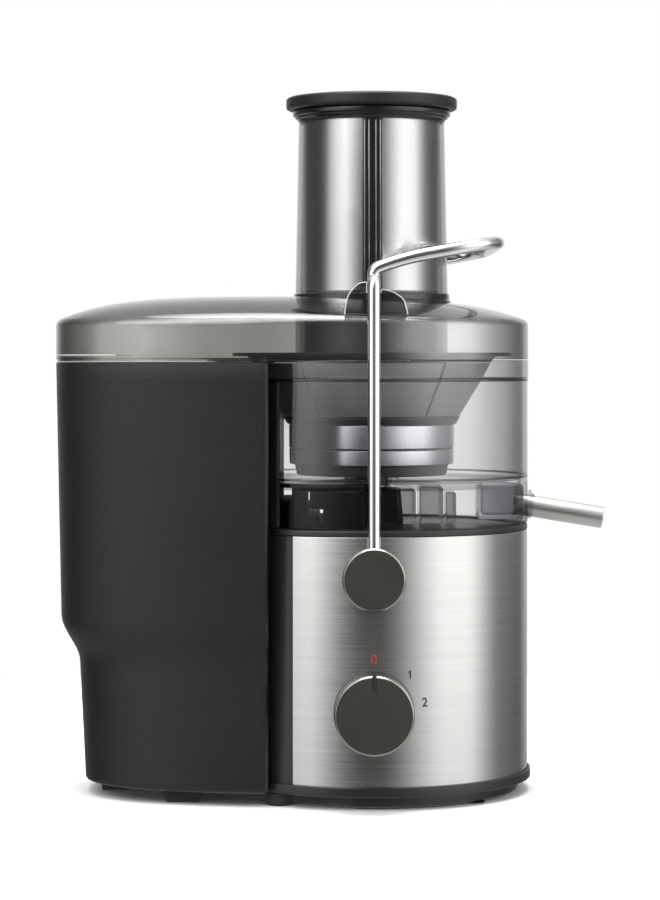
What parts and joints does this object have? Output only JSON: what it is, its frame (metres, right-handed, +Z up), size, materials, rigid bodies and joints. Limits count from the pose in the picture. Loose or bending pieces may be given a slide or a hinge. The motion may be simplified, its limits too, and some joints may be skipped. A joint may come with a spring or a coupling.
{
  "type": "centrifugal juicer",
  "caption": "Upright centrifugal juicer with a wide feed tube, locking arm, clear bowl, side spout and a tall pulp container.",
  "frame": {"origin": "on the worktop, under the middle of the footprint box", "axes": "+Z up along the motor axis and feed tube, -Y towards the controls, +X towards the spout"},
  "size_m": [0.322, 0.215, 0.406],
  "materials": {
    "black_plastic": "satin moulded black plastic",
    "grained_plastic": "charcoal plastic with a fine moulded grain",
    "grey_plastic": "smooth grey plastic",
    "smoked_clear": "smoke-tinted clear polycarbonate",
    "clear_plastic": "clear polycarbonate",
    "brushed_steel": "stainless sheet brushed round the body",
    "polished_steel": "polished stainless",
    "grey_satin": "warm dark grey satin face with a bright turned edge",
    "silver_ring": "satin silver ring",
    "rubber": "soft black rubber",
    "cast_aluminium": "die-cast",
    "laminated_iron": "stacked laminations",
    "copper": "enamelled copper wire and copper bars",
    "brass": "pressed brass",
    "carbon": "pressed carbon",
    "white_nylon": "moulded nylon",
    "board": "glass-fibre circuit board",
    "red_plastic": "moulded switch case"
  },
  "bodies": {
    "base_unit": {"base_plate": "black_plastic", "foot_skirt": "black_plastic", "foot_front": "rubber", "foot_back": "rubber", "skirt_pad_front": "rubber", "skirt_pad_back": "rubber", "base_screw_front": "polished_steel", "base_screw_rear": "polished_steel", "base_screw_left": "polished_steel", "motor_housing": "black_plastic", "steel_wrap": "brushed_steel", "top_deck": "black_plastic", "shaft_seal": "rubber", "stator_core": "laminated_iron", "field_coil_left": "copper", "field_coil_right": "copper", "motor_bracket_lower": "cast_aluminium", "motor_bracket_upper": "cast_aluminium", "bearing_lower": "polished_steel", "bearing_upper": "polished_steel", "brush_holder_front": "brass", "brush_holder_back": "brass", "carbon_brush_front": "carbon", "carbon_brush_back": "carbon", "rotary_switch": "black_plastic", "control_board": "board", "interlock_switch": "red_plastic", "cord_gland": "rubber", "pivot_pin_front": "polished_steel", "pivot_pin_back": "polished_steel", "juice_bowl": "clear_plastic", "spout": "polished_steel", "spout_collar": "clear_plastic", "lid": "smoked_clear", "feed_tube": "smoked_clear"},
    "lock_arm": {"lock_arm": "polished_steel", "arm_cap_front": "grey_satin", "arm_cap_back": "grey_satin"},
    "speed_knob": {"speed_knob": "grey_satin", "knob_skirt": "black_plastic", "switch_spindle": "polished_steel"},
    "pusher": {"pusher_cap": "black_plastic", "pusher_sleeve": "brushed_steel", "pusher_core": "grey_plastic"},
    "spinner": {"motor_shaft": "polished_steel", "armature_core": "laminated_iron", "winding_lower": "copper", "winding_upper": "copper", "commutator": "copper", "cooling_fan": "white_nylon", "drive_coupling": "black_plastic", "basket_base": "black_plastic", "basket_band": "silver_ring", "basket_collar": "black_plastic", "filter_mesh": "brushed_steel", "basket_rim": "black_plastic", "grater_disc": "polished_steel"},
    "pulp_container": {"pulp_container": "grained_plastic", "container_pad_front": "rubber", "container_pad_back": "rubber"}
  },
  "joints": [
    {"name": "pusher_slide", "type": "slide", "parent": "base_unit", "child": "pusher", "axis": [0, 0, 1], "range_m": [0, 0.165]},
    {"name": "lock_arm_swing", "type": "hinge", "parent": "base_unit", "child": "lock_arm", "pos_m": [0.024, 0.0045, 0.1297], "axis": [0, 1, 0], "range_deg": [0, 95]},
    {"name": "speed_knob_turn", "type": "hinge", "parent": "base_unit", "child": "speed_knob", "pos_m": [0.024, -0.1, 0.0555], "axis": [0, 1, 0], "range_deg": [0, 90]},
    {"name": "motor_spin", "type": "hinge", "parent": "base_unit", "child": "spinner", "pos_m": [0.024, 0.0045, 0.1], "axis": [0, 0, 1], "continuous": true},
    {"name": "pulp_container_slide", "type": "slide", "parent": "base_unit", "child": "pulp_container", "axis": [-1, 0, 0], "range_m": [0, 0.16]}
  ]
}
